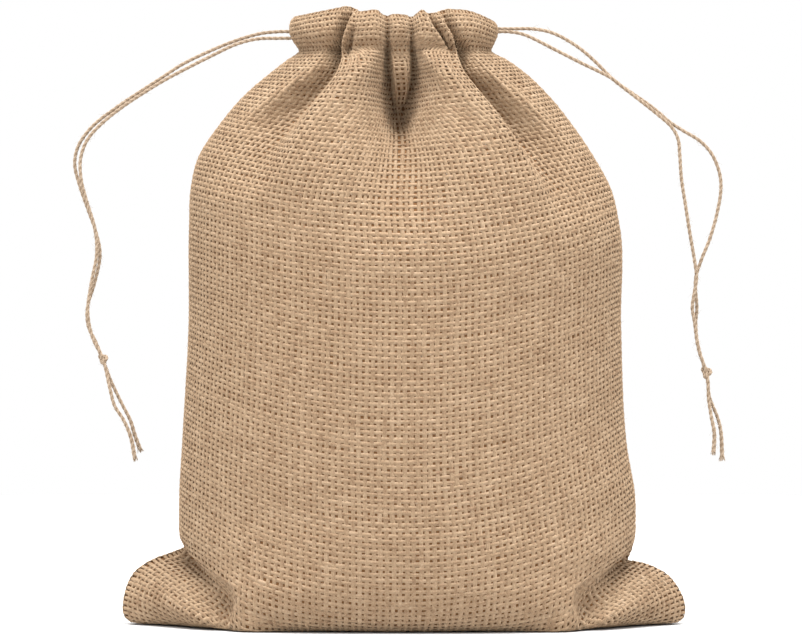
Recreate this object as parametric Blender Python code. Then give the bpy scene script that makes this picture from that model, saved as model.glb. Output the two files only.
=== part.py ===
"""A burlap drawstring sack, standing filled on its base with its mouth gathered.

Metres, +Z up, front at -Y. The origin is on the ground, under the middle of the sack.
The sack is one cloth shell: a flat tube sewn shut along the bottom, with its top edge
turned over into a channel. Two jute drawstrings run in the channel. Each one leaves it
as two strands at one side, which are knotted together and end in two cut tails.
"""

import math
from collections import namedtuple

import bmesh
import bpy
import numpy as np
from mathutils import Matrix

MM = 0.001

# Cloth, in millimetres
CLOTH = 1.6  # one layer of burlap
CHANNEL_CLOTH = 3.0  # the two layers of the turned-over channel
EAR_FILL = 9.0  # how far the two layers lie together at each bottom corner
EAR_POINT = 0.8  # 1 draws an ear straight to its tip, and less rounds it out
AROUND = 112  # points round the sack

# Drawstring, in millimetres
TWINE = 1.2  # diameter
SEATED = 1.2  # how far a strand's end lies inside the channel's slit
GAP = 0.35  # clearance where one piece meets another
POINT_SPACING = 3.0  # along a strand, in twine diameters

# The slit at each side of the channel: how deep, and its size across
SLIT_DEPTH = 2.0
SLIT_WIDTH = 4.6
SLIT_HEIGHT = 8.0
SLIT_MIDDLE = 209.8

# The sack's outline at each height, in millimetres. left and right are where its sides
# stand, front and back its depth each way. Above the base the bottom corners stand out
# as ears beyond the filled body, by left_ear and right_ear. ear_depth is an ear's half
# thickness where it leaves the body.
Level = namedtuple("Level", "height left right front back left_ear right_ear ear_depth")
LEVELS = (
    Level(0.0, -96.5, 96.5, 38.0, 38.0, 38.0, 38.0, 13.0),  # base, flat on the ground
    Level(1.8, -99.4, 98.8, 42.4, 42.4, 37.0, 36.0, 15.5),
    Level(5.5, -100.1, 100.1, 45.6, 45.6, 33.5, 33.0, 17.0),
    Level(13.0, -98.8, 97.0, 48.2, 48.2, 27.5, 26.0, 16.0),  # ears
    Level(19.5, -94.4, 89.8, 49.2, 49.2, 19.5, 15.0, 12.5),
    Level(24.4, -86.8, 82.4, 49.6, 49.6, 9.5, 3.5, 7.0),
    Level(28.0, -78.2, 80.4, 49.8, 49.8, 0.0, 0.0, 0.0),  # notch over each ear
    Level(38.0, -79.8, 82.0, 50.0, 50.0, 0.0, 0.0, 0.0),
    Level(64.0, -78.7, 78.6, 50.0, 50.0, 0.0, 0.0, 0.0),
    Level(106.0, -76.4, 76.6, 49.6, 49.6, 0.0, 0.0, 0.0),
    Level(142.0, -76.2, 76.0, 48.5, 48.5, 0.0, 0.0, 0.0),
    Level(155.0, -75.6, 72.8, 46.8, 46.8, 0.0, 0.0, 0.0),
    Level(166.0, -72.8, 66.8, 43.5, 43.5, 0.0, 0.0, 0.0),  # shoulders
    Level(177.0, -65.6, 59.4, 38.6, 38.6, 0.0, 0.0, 0.0),
    Level(187.0, -57.2, 51.4, 33.2, 33.2, 0.0, 0.0, 0.0),
    Level(196.0, -46.8, 42.0, 27.0, 27.0, 0.0, 0.0, 0.0),
    Level(203.5, -37.2, 30.6, 20.0, 20.0, 0.0, 0.0, 0.0),  # stitch line under the channel
    Level(209.5, -40.8, 33.0, 21.5, 21.5, 0.0, 0.0, 0.0),  # drawstrings
    Level(215.5, -39.0, 31.4, 20.4, 20.4, 0.0, 0.0, 0.0),
    Level(218.6, -36.4, 28.8, 18.2, 18.2, 0.0, 0.0, 0.0),  # rim
)
NOTCH_HEIGHT = 28.0  # below it the two layers close into the ears
STITCH_HEIGHT = 203.5

# The pleats that gather the mouth, each a valley that runs down from the rim. A place is
# a share of one face, from left to right on the front and from right to left on the
# back. reach is the height where the valley has died out. Depths in millimetres.
Pleat = namedtuple("Pleat", "face at_neck at_body depth reach")
PLEATS = (
    Pleat("front", 0.294, 0.240, 6.0, 154.0),
    Pleat("front", 0.365, 0.350, 3.0, 190.0),
    Pleat("front", 0.480, 0.462, 8.0, 150.0),
    Pleat("front", 0.564, 0.556, 8.0, 150.0),
    Pleat("front", 0.626, 0.640, 3.2, 190.0),
    Pleat("front", 0.722, 0.770, 7.0, 146.0),
    Pleat("back", 0.235, 0.225, 6.0, 156.0),
    Pleat("back", 0.345, 0.330, 4.0, 180.0),
    Pleat("back", 0.455, 0.452, 7.2, 150.0),
    Pleat("back", 0.560, 0.570, 6.6, 158.0),
    Pleat("back", 0.650, 0.668, 3.8, 184.0),
    Pleat("back", 0.745, 0.775, 6.2, 152.0),
)
NECK_VALLEY = 0.040  # half width of a valley at the neck, as a share of the face
BODY_VALLEY = 0.095  # and where it runs out

# The rim dips at each valley, and over the middle of the front, in millimetres
VALLEY_DIP = 1.6
MIDDLE_DIP = 2.0
MIDDLE_DIP_PLACE = 0.52  # as a share of the front, like a pleat's place
MIDDLE_DIP_WIDTH = 0.06  # its half width, as a share of the way round

# The strands, in millimetres: points on the way of each from the channel to the knot.
STRANDS = {
    "left_front": (
        (-45.0, -1.2, 207.9), (-52.5, -1.6, 207.6), (-60.0, -1.8, 205.6), (-68.5, -1.6, 201.6),
        (-76.5, -1.4, 197.6), (-84.5, -1.2, 193.4), (-92.0, -1.0, 188.9), (-100.0, -1.0, 183.6),
        (-107.0, -1.2, 178.0), (-112.4, -1.4, 172.0), (-114.9, -1.6, 165.0), (-114.6, -1.6, 157.4),
        (-112.6, -1.4, 149.6), (-109.9, -1.0, 140.6), (-109.2, -0.8, 131.6), (-110.8, -1.0, 122.6),
        (-112.3, -1.2, 113.0), (-111.9, -1.1, 106.5), (-110.3, -0.9, 100.8),
    ),
    "left_back": (
        (-45.0, 1.2, 210.4), (-52.0, 1.5, 209.6), (-61.0, 1.6, 206.9), (-70.0, 1.6, 203.2),
        (-79.0, 1.4, 198.8), (-87.0, 1.2, 193.6), (-95.0, 1.0, 188.4), (-103.0, 1.0, 183.0),
        (-110.4, 1.0, 177.2), (-115.6, 1.2, 170.4), (-117.2, 1.4, 163.4), (-115.4, 1.4, 155.6),
        (-112.6, 1.4, 147.6), (-109.6, 1.2, 139.0), (-108.2, 1.2, 131.0), (-110.0, 1.2, 121.6),
        (-112.6, 1.2, 112.8), (-112.4, 1.1, 106.0), (-109.9, 0.9, 100.6),
    ),
    "right_front": (
        (37.2, -1.2, 210.2), (43.4, -1.6, 208.8), (53.2, -2.0, 203.9), (62.2, -2.0, 199.3),
        (72.4, -1.6, 194.3), (77.4, -1.2, 190.6), (84.9, -1.0, 184.8), (90.4, -1.0, 180.4),
        (94.6, -1.2, 176.6), (97.0, -1.4, 172.2), (97.6, -1.8, 166.8), (98.2, -2.0, 158.0),
        (99.6, -2.0, 148.9), (101.0, -1.8, 139.8), (102.6, -1.4, 130.8), (103.6, -1.2, 123.4),
        (103.0, -1.2, 118.7), (102.1, -1.2, 112.5), (102.9, -1.1, 107.2), (103.7, -1.0, 101.0),
        (104.7, -0.9, 96.3),
    ),
    "right_back": (
        (37.2, 1.2, 211.4), (46.0, 1.6, 211.4), (53.4, 1.8, 209.7), (61.4, 1.8, 205.2),
        (67.8, 1.6, 199.8), (74.2, 1.4, 193.4), (80.4, 1.2, 188.9), (88.0, 1.0, 183.6),
        (94.4, 1.0, 178.2), (99.4, 1.2, 175.0), (105.0, 1.6, 171.6), (109.2, 1.8, 167.0),
        (111.9, 2.0, 160.6), (112.5, 2.0, 154.3), (111.2, 2.0, 146.2), (108.6, 1.8, 137.0),
        (105.4, 1.5, 129.0), (103.4, 1.2, 122.0), (103.9, 1.2, 112.5), (103.5, 1.1, 107.0),
        (103.9, 1.0, 101.2), (104.9, 0.9, 96.5),
    ),
}
# The tails: points on the way of each from the knot to its cut end.
TAILS = {
    "left_front": (
        (-105.2, -0.9, 86.8), (-104.2, -1.2, 82.4), (-102.8, -1.4, 77.5), (-99.5, -1.4, 72.2),
        (-97.0, -1.4, 66.1), (-95.6, -1.4, 58.6),
    ),
    "left_back": (
        (-104.6, 0.9, 87.0), (-102.7, 1.2, 82.8), (-100.3, 1.4, 77.9), (-97.4, 1.4, 72.2),
        (-95.8, 1.4, 66.9), (-93.8, 1.4, 61.6),
    ),
    "right_front": (
        (107.9, -0.9, 80.2), (108.8, -1.2, 73.9), (109.9, -1.4, 67.7), (109.6, -1.4, 60.7),
    ),
    "right_back": (
        (108.4, 0.9, 80.4), (111.2, 1.2, 73.4), (112.5, 1.4, 67.7), (112.9, 1.4, 58.6),
    ),
}
# The knots, in millimetres. lean is how far a knot's top tips to the left, in degrees.
Knot = namedtuple("Knot", "middle half_width half_height lean")
KNOTS = {
    "left": Knot((-107.2, 0.0, 94.0), 1.9, 2.4, 21.0),
    "right": Knot((107.0, 0.0, 89.2), 2.1, 2.7, 15.0),
}
KNOT_SPREAD = 0.8  # how far a strand's middle is from the knot's, front or back

BURLAP = (0.60, 0.42, 0.26, 1.0)
JUTE = (0.62, 0.46, 0.29, 1.0)


def clear_scene():
    for obj in list(bpy.data.objects):
        bpy.data.objects.remove(obj)


def make_material(name, colour, roughness):
    material = bpy.data.materials.new(name)
    material.use_nodes = True
    shader = material.node_tree.nodes["Principled BSDF"]
    shader.inputs["Base Color"].default_value = colour
    shader.inputs["Roughness"].default_value = roughness
    shader.inputs["Metallic"].default_value = 0.0
    return material


def smooth_step(x):
    x = np.clip(x, 0.0, 1.0)
    return x * x * (3.0 - 2.0 * x)


def bump(x):
    """1 at 0, falling smoothly to 0 at -1 and 1."""
    return np.where(np.abs(x) < 1.0, 0.5 + 0.5 * np.cos(math.pi * np.clip(x, -1.0, 1.0)), 0.0)


def turns():
    """Places round the sack: 0 is the right side, 0.25 the back, 0.5 the left, 0.75 the front."""
    return np.arange(AROUND) / AROUND


def plain_outline(level, end_inset=0.0, face_inset=0.0):
    """A level's outline without pleats, as an array of x, y.

    The filled body is an ellipse. An ear's depth falls from where it leaves the body to
    nothing at its tip, and the two are blended by their cubes.
    """
    angle = 2.0 * math.pi * turns()
    left, right = level.left + end_inset, level.right - end_inset
    x = (left + right) / 2.0 + (right - left) / 2.0 * np.cos(angle)
    body_left, body_right = left + level.left_ear, right - level.right_ear
    across = (2.0 * x - body_left - body_right) / (body_right - body_left)
    depth = np.where(np.sin(angle) > 0.0, level.back, level.front) - face_inset
    body = depth * np.sqrt(np.clip(1.0 - across**2, 0.0, 1.0))
    length = np.where(x < (left + right) / 2.0, level.left_ear, level.right_ear)
    to_tip = np.clip(np.minimum(x - left, right - x) / np.maximum(length, 1.0), 0.0, 1.0)
    ear = np.maximum(level.ear_depth - face_inset, 0.0) * to_tip**EAR_POINT
    y = np.cbrt(body**3 + ear**3) * np.sign(np.round(np.sin(angle), 9))
    return np.stack([x, y], axis=1)


def outward(outline):
    """The unit normals of a closed outline that runs anticlockwise."""
    along = np.roll(outline, -1, axis=0) - np.roll(outline, 1, axis=0)
    normal = np.stack([along[:, 1], -along[:, 0]], axis=1)
    return normal / np.linalg.norm(normal, axis=1, keepdims=True)


def turn_at(face, share):
    """The place round the sack of a share of one of its faces."""
    return 0.5 + share / 2.0 if face == "front" else share / 2.0


def valley_profile(pleat, height):
    """How strongly a pleat's valley draws in each point round the sack, from 0 to 1."""
    fall = smooth_step((height - pleat.reach) / (STITCH_HEIGHT - pleat.reach))
    share = pleat.at_body + (pleat.at_neck - pleat.at_body) * fall
    half_width = BODY_VALLEY + (NECK_VALLEY - BODY_VALLEY) * fall
    return fall * bump((turns() - turn_at(pleat.face, share)) * 2.0 / half_width)


def valley_depth(height):
    """How far the pleats draw each point in at this height, in millimetres."""
    return sum(pleat.depth * valley_profile(pleat, height) for pleat in PLEATS)


def outer_ring(level):
    """A level's outline on the outside of the cloth, with its pleats."""
    outline = plain_outline(level)
    return outline - outward(outline) * valley_depth(level.height)[:, None]


def inner_ring(level):
    """The same outline on the inside of the cloth."""
    if level.height < NOTCH_HEIGHT:
        return plain_outline(level, EAR_FILL, CLOTH)
    cloth = CLOTH if level.height <= STITCH_HEIGHT else CHANNEL_CLOTH
    ring = outer_ring(level)
    return ring - outward(ring) * cloth


def rim_dip(height):
    """How far the channel's upper part dips at each point round the mouth."""
    rise = smooth_step((height - STITCH_HEIGHT) / (LEVELS[-1].height - STITCH_HEIGHT))
    valleys = sum(valley_profile(pleat, STITCH_HEIGHT) for pleat in PLEATS)
    middle = bump((turns() - turn_at("front", MIDDLE_DIP_PLACE)) / MIDDLE_DIP_WIDTH)
    return rise * (VALLEY_DIP * np.minimum(valleys, 1.0) + MIDDLE_DIP * middle)


def add_ring(mesh, outline, heights):
    """Adds one ring of vertices, in metres."""
    heights = np.broadcast_to(heights, len(outline))
    return [mesh.verts.new((x * MM, y * MM, z * MM)) for (x, y), z in zip(outline, heights)]


def join_rings(mesh, lower, upper):
    """Faces between two rings, pointing outwards where upper is the higher one."""
    for i in range(AROUND):
        j = (i + 1) % AROUND
        mesh.faces.new((lower[i], lower[j], upper[j], upper[i]))


def close_across(mesh, ring, facing_up):
    """Fills a ring with strips from its front edge to its back edge."""
    half = AROUND // 2
    for i in range(half):
        corners = [ring[i], ring[i + 1], ring[-i - 1], ring[-i]]
        if i == 0:
            corners.pop()
        if i == half - 1:
            corners.pop(2)
        mesh.faces.new(corners if facing_up else corners[::-1])


def sack_mesh():
    """The sack's cloth, a loft of its levels outside and in, joined round the rim."""
    mesh = bmesh.new()
    outside = [add_ring(mesh, outer_ring(level), level.height - rim_dip(level.height)) for level in LEVELS]
    floor = add_ring(mesh, plain_outline(LEVELS[0], EAR_FILL, CLOTH), CLOTH)
    walls = [level for level in LEVELS if level.height > 2.0 * CLOTH]
    inside = [floor]
    inside += [add_ring(mesh, inner_ring(level), level.height - rim_dip(level.height)) for level in walls]
    for lower, upper in zip(outside, outside[1:]):
        join_rings(mesh, lower, upper)
    for lower, upper in zip(inside, inside[1:]):
        join_rings(mesh, upper, lower)
    join_rings(mesh, outside[-1], inside[-1])
    close_across(mesh, outside[0], facing_up=False)
    close_across(mesh, floor, facing_up=True)
    bmesh.ops.recalc_face_normals(mesh, faces=mesh.faces)
    data = bpy.data.meshes.new("sack")
    mesh.to_mesh(data)
    mesh.free()
    return data


def side_at_slit(side):
    """Where the channel's side stands at the height of the slit."""
    heights = [level.height for level in LEVELS]
    return float(np.interp(SLIT_MIDDLE, heights, [getattr(level, side) for level in LEVELS]))


def slit_cutter(side, helpers):
    """A flattened bar that cuts the slit where the strands leave the channel."""
    outwards = -1.0 if side == "left" else 1.0
    reach = 2.0 * SLIT_DEPTH
    bpy.ops.mesh.primitive_cylinder_add(vertices=16, radius=0.5, depth=1.0)
    cutter = bpy.context.object
    cutter.name = f"slit_cutter_{side}"
    middle = side_at_slit(side) + outwards * (reach / 2.0 - SLIT_DEPTH)
    size = Matrix.Diagonal((SLIT_HEIGHT * MM, SLIT_WIDTH * MM, reach * MM, 1.0))
    turn = Matrix.Rotation(math.pi / 2.0, 4, "Y")
    place = Matrix.Translation((middle * MM, 0.0, SLIT_MIDDLE * MM))
    cutter.data.transform(place @ turn @ size)
    cutter.hide_render = True
    cutter.display_type = "WIRE"
    move_to(cutter, helpers)
    return cutter


def move_to(obj, collection):
    for holder in list(obj.users_collection):
        holder.objects.unlink(obj)
    collection.objects.link(obj)


def add_sack(parts, helpers, material):
    sack = bpy.data.objects.new("sack", sack_mesh())
    sack.data.materials.append(material)
    parts.objects.link(sack)
    for side in ("left", "right"):
        cut = sack.modifiers.new(f"slit_{side}", "BOOLEAN")
        cut.operation = "DIFFERENCE"
        cut.object = slit_cutter(side, helpers)
    sack.data.shade_smooth()


def smooth_route(points, spacing):
    """Points at an even spacing along a smooth curve through the given ones."""
    points = np.array(points, float)
    ends = np.concatenate([[2 * points[0] - points[1]], points, [2 * points[-1] - points[-2]]])
    t = np.linspace(0.0, 1.0, 12, endpoint=False)[:, None]
    spans = []
    for a, b, c, d in zip(ends, ends[1:], ends[2:], ends[3:]):
        spans.append(b + 0.5 * t * (c - a + t * (2 * a - 5 * b + 4 * c - d + t * (3 * (b - c) + d - a))))
    fine = np.concatenate(spans + [points[-1:]])
    along = np.concatenate([[0.0], np.cumsum(np.linalg.norm(np.diff(fine, axis=0), axis=1))])
    at = np.linspace(0.0, along[-1], max(2, round(along[-1] / spacing) + 1))
    return np.stack([np.interp(at, along, fine[:, k]) for k in range(3)], axis=1)


def add_twine(name, points, parts, material):
    """A length of twine: a round tube along the route."""
    route = smooth_route(points, POINT_SPACING * TWINE)
    curve = bpy.data.curves.new(name, "CURVE")
    curve.dimensions = "3D"
    curve.bevel_depth = TWINE / 2.0 * MM
    curve.bevel_resolution = 2
    curve.use_fill_caps = True
    spline = curve.splines.new("POLY")
    spline.points.add(len(route) - 1)
    for point, place in zip(spline.points, route):
        point.co = (*(place * MM), 1.0)
    curve.materials.append(material)
    parts.objects.link(bpy.data.objects.new(name, curve))


def strand_start(side, face):
    """Where a strand comes out of the slit, just inside it."""
    outwards = -1.0 if side == "left" else 1.0
    first = STRANDS[f"{side}_{face}"][0]
    return (side_at_slit(side) - outwards * SEATED, first[1] * 0.7, first[2])


def at_knot(side, face, up):
    """Where a strand or a tail meets the knot: above it, or below it where up is -1."""
    knot = KNOTS[side]
    lean = math.radians(knot.lean)
    away = up * (knot.half_height + GAP)
    x, y, z = knot.middle
    beside = -KNOT_SPREAD if face == "front" else KNOT_SPREAD
    return (x - away * math.sin(lean), y + beside, z + away * math.cos(lean))


def add_knot(side, parts, material):
    """The overhand knot that ties the two strands, as one rounded lump."""
    knot = KNOTS[side]
    mesh = bmesh.new()
    bmesh.ops.create_uvsphere(mesh, u_segments=16, v_segments=10, radius=1.0)
    size = (knot.half_width * MM, knot.half_width * MM, knot.half_height * MM)
    bmesh.ops.scale(mesh, vec=size, verts=mesh.verts)
    data = bpy.data.meshes.new(f"knot_{side}")
    mesh.to_mesh(data)
    mesh.free()
    data.materials.append(material)
    data.shade_smooth()
    obj = bpy.data.objects.new(f"knot_{side}", data)
    obj.location = [c * MM for c in knot.middle]
    obj.rotation_euler = (0.0, math.radians(-knot.lean), 0.0)
    parts.objects.link(obj)


def main():
    clear_scene()
    parts = bpy.data.collections.new("burlap_sack")
    helpers = bpy.data.collections.new("cutters")
    for collection in (parts, helpers):
        bpy.context.scene.collection.children.link(collection)
    burlap = make_material("burlap", BURLAP, 0.92)
    jute = make_material("jute_twine", JUTE, 0.88)
    add_sack(parts, helpers, burlap)
    for side in ("left", "right"):
        add_knot(side, parts, jute)
        for face in ("front", "back"):
            key = f"{side}_{face}"
            strand = (strand_start(side, face), *STRANDS[key], at_knot(side, face, 1.0))
            tail = (at_knot(side, face, -1.0), *TAILS[key])
            add_twine(f"strand_{key}", strand, parts, jute)
            add_twine(f"tail_{key}", tail, parts, jute)


main()
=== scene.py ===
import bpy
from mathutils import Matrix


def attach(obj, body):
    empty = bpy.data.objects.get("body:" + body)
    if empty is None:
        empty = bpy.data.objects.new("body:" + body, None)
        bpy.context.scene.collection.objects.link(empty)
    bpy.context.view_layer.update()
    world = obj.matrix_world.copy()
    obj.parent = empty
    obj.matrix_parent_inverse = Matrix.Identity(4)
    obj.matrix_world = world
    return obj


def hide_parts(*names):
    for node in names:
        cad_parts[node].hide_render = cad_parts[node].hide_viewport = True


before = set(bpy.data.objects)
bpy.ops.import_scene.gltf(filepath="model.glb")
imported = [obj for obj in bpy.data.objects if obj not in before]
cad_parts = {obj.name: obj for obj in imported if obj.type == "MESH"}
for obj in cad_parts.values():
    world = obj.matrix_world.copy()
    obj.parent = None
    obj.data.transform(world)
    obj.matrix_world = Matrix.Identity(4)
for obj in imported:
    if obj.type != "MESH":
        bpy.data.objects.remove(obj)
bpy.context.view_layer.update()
print("frame loaded")

import math

import bpy
import numpy as np
from mathutils import Vector

mm = 0.001  # sizes below are in millimetres; meshes are in metres
lowest = 0.05  # no yarn or fibre sinks below this height


def smoothStep(x):
    # 3 x^2 - 2 x^3 from 0 to 1, and level outside
    x = np.clip(x, 0.0, 1.0)
    return x * x * (3.0 - 2.0 * x)


def ramp(x, start, over):
    # 0 up to start, then a smooth step that is 1 when x is over further on (below zero, further back)
    return smoothStep((x - start) / over)


def bump(x):
    # raised cosine: 1 at 0, falling to 0 at -1 and 1
    return 0.5 + 0.5 * np.cos(math.pi * np.clip(x, -1.0, 1.0))


def smoothTable(rows, at):
    # a cubic through each column of the table, read at the given places in its first column;
    # it is level where a column turns back
    rows = np.array(rows, float)
    x, y = rows[:, 0], rows[:, 1:]
    slope = np.gradient(y, x, axis=0)
    secant = np.diff(y, axis=0) / np.diff(x)[:, None]
    flat = secant[:-1] * secant[1:] <= 0.0
    slope[1:-1][flat] = 0.0
    at = np.clip(np.asarray(at, float), x[0], x[-1])
    k = np.clip(np.searchsorted(x, at, side="right") - 1, 0, len(x) - 2)
    h = (x[k + 1] - x[k])[..., None]
    t = ((at - x[k]) / (x[k + 1] - x[k]))[..., None]
    lower = (1 + 2 * t) * (1 - t) ** 2 * y[k] + t * (1 - t) ** 2 * h * slope[k]
    upper = t * t * (3 - 2 * t) * y[k + 1] + t * t * (t - 1) * h * slope[k + 1]
    return np.moveaxis(lower + upper, -1, 0)


def normalise(vectors):
    # each vector over its own length
    return vectors / np.maximum(np.linalg.norm(vectors, axis=-1, keepdims=True), 1e-9)


def addMesh(name, points, faces, material, attributes=(), layout=None):
    # points are in mm; faces is an array of quads, or of triangles; each attribute has a value for
    # every point, and the layout a place in the unit square for every corner
    mesh = bpy.data.meshes.new(name)
    points = np.asarray(points, np.float32).reshape(-1, 3) * mm
    faces = np.asarray(faces, np.int32)
    sides = faces.shape[1]
    mesh.vertices.add(len(points))
    mesh.vertices.foreach_set("co", points.ravel())
    mesh.loops.add(faces.size)
    mesh.loops.foreach_set("vertex_index", faces.ravel())
    mesh.polygons.add(len(faces))
    mesh.polygons.foreach_set("loop_start", np.arange(len(faces), dtype=np.int32) * sides)
    mesh.update(calc_edges=True)
    mesh.polygons.foreach_set("use_smooth", np.ones(len(faces), bool))
    for attribute, values in attributes:
        layer = mesh.attributes.new(attribute, "FLOAT", "POINT")
        layer.data.foreach_set("value", np.asarray(values, np.float32).ravel())
    if layout is not None:
        layer = mesh.uv_layers.new(name="OFBake")
        layer.data.foreach_set("uv", np.asarray(layout, np.float32).ravel())
    mesh.materials.append(material)
    mesh.validate()
    obj = bpy.data.objects.new(name, mesh)
    bpy.context.scene.collection.objects.link(obj)
    return obj


def hexColour(code):
    # sRGB hex to linear RGBA: c / 12.92 when dark, else ((c + 0.055) / 1.055)^2.4
    channels = [int(code[k : k + 2], 16) / 255.0 for k in (1, 3, 5)]
    return [c / 12.92 if c <= 0.04045 else ((c + 0.055) / 1.055) ** 2.4 for c in channels] + [1.0]


def addNode(tree, kind, settings=(), inputs=(), links=()):
    # one node, with its settings, its sockets' values and what its sockets are linked to
    node = tree.nodes.new(kind)
    for key, value in dict(settings).items():
        setattr(node, key, value)
    for key, value in dict(inputs).items():
        node.inputs[key].default_value = value
    for key, socket in dict(links).items():
        tree.links.new(socket, node.inputs[key])
    return node


juteLook = {
    "dark": "#7e624a",
    "middle": "#9d8469",
    "light": "#b49c82",
    "roughness": 0.9,
    "ior": 1.45,
    "specular": 0.2,
    "diffuseRoughness": 1.0,
    "sheen": 0.25,
    "sheenRoughness": 0.5,
    "fleck": 0.45,  # mm, size of the loose fibres' flecks
    "fleckDetail": 2.0,
    "fleckRoughness": 0.6,
    "fleckDepth": 1.3,  # how much of the colour ramp the flecks cover
    "patch": 7.0,  # mm, size of lighter and darker stretches of fibre
    "patchDetail": 1.0,
    "patchRoughness": 0.5,
    "patchDepth": 0.35,
    "bump": 0.5,
    "bumpDepth": 0.12,  # mm
}

twineLook = {
    **juteLook,
    "dark": "#786552",
    "middle": "#a18d78",
    "light": "#bfad98",
    "patch": 3.0,
}

# painted shade: the dark colour of the sheet that shows through the holes of the weave
shadeLook = {
    "colour": "#6c4c31",
    "roughness": 1.0,
    "specular": 0.1,
}


def juteYarn(name, look):
    # unbleached jute, spun: dry bast fibre, so fully rough with a faint silky sheen. The colour is
    # read from a ramp at the yarn's own tone + flecks of loose fibre + slower patches.
    material = bpy.data.materials.new(name)
    material.use_nodes = True
    tree = material.node_tree
    shader = tree.nodes["Principled BSDF"]
    for socket, key in (
        ("Roughness", "roughness"), ("IOR", "ior"), ("Specular IOR Level", "specular"),
        ("Diffuse Roughness", "diffuseRoughness"), ("Sheen Weight", "sheen"),
        ("Sheen Roughness", "sheenRoughness"),
    ):
        shader.inputs[socket].default_value = look[key]
    shader.inputs["Sheen Tint"].default_value = hexColour(look["light"])
    place = addNode(tree, "ShaderNodeTexCoord")
    tone = addNode(tree, "ShaderNodeAttribute", {"attribute_name": "tone"})
    total = tone.outputs["Fac"]
    noises = {}
    for kind in ("fleck", "patch"):
        scale, depth = 1.0 / (look[kind] * mm), look[kind + "Depth"]
        noises[kind] = addNode(
            tree, "ShaderNodeTexNoise", inputs={
                "Scale": scale, "Detail": look[kind + "Detail"], "Roughness": look[kind + "Roughness"],
            },
            links={"Vector": place.outputs["Object"]},
        ).outputs["Fac"]
        shift = addNode(
            tree, "ShaderNodeMath", {"operation": "MULTIPLY_ADD"}, {1: depth, 2: -0.5 * depth},
            {0: noises[kind]},
        )
        links = {0: total, 1: shift.outputs[0]}
        total = addNode(tree, "ShaderNodeMath", {"operation": "ADD"}, links=links).outputs[0]
    colours = addNode(tree, "ShaderNodeValToRGB", links={"Fac": total})
    stops = colours.color_ramp.elements
    stops[0].position, stops[1].position = 0.0, 1.0
    stops[0].color, stops[1].color = hexColour(look["dark"]), hexColour(look["light"])
    stops.new(0.5).color = hexColour(look["middle"])
    tree.links.new(colours.outputs["Color"], shader.inputs["Base Color"])
    bumps = addNode(
        tree, "ShaderNodeBump", inputs={"Strength": look["bump"], "Distance": look["bumpDepth"] * mm},
        links={"Height": noises["fleck"]},
    )
    tree.links.new(bumps.outputs["Normal"], shader.inputs["Normal"])
    return material


def shadedJute(look):
    # painted shade for the holes of the weave: a dull, dark colour for the far side of the yarns and the
    # inside of the sack in shade
    material = bpy.data.materials.new("juteInShade")
    material.use_nodes = True
    shader = material.node_tree.nodes["Principled BSDF"]
    shader.inputs["Base Color"].default_value = hexColour(look["colour"])
    shader.inputs["Roughness"].default_value = look["roughness"]
    shader.inputs["Specular IOR Level"].default_value = look["specular"]
    return material


cameraSet = {
    "place": (-1.24, -1400.0, 107.6),
    "lens": 177.0,
    "sensor": 36.0,
    "clip": (0.05, 20.0),  # m
}


def addCamera():
    # it stands on the front's side and looks level along +Y
    data = bpy.data.cameras.new("camera")
    data.lens = cameraSet["lens"]
    data.sensor_width = cameraSet["sensor"]
    data.clip_start, data.clip_end = cameraSet["clip"]
    camera = bpy.data.objects.new("camera", data)
    camera.location = [c * mm for c in cameraSet["place"]]
    camera.rotation_euler = (math.radians(90.0), 0.0, 0.0)
    bpy.context.scene.collection.objects.link(camera)
    bpy.context.scene.camera = camera


addCamera()
print("camera placed")

twine = {
    "diameter": 1.2,
    "plies": 2,
    "lay": 4.2,  # mm along the twine for one turn of a ply
    "plyDepth": 0.12,  # how far the groove between plies cuts in, as a share of the radius
    "plyPaintedShade": 0.28,  # painted shade: how much lighter a ply's crest is than its side, where the groove between plies lies
    "sides": 10,
    "step": 0.5,  # mm between rings
    "curveSteps": 16,  # between two points of a route
    "strips": 8,  # that the unrolled twine is cut into
    "endWidth": 0.12,  # of the radius, at the very ends
    "endTapers": (0.8, 0.6),  # mm over which the first and the last end reach full width
    "loose": 16.0,  # mm of tail in which the plies loosen
    "loosening": 14.0,
    "looseSwelling": 0.22,
}

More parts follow.
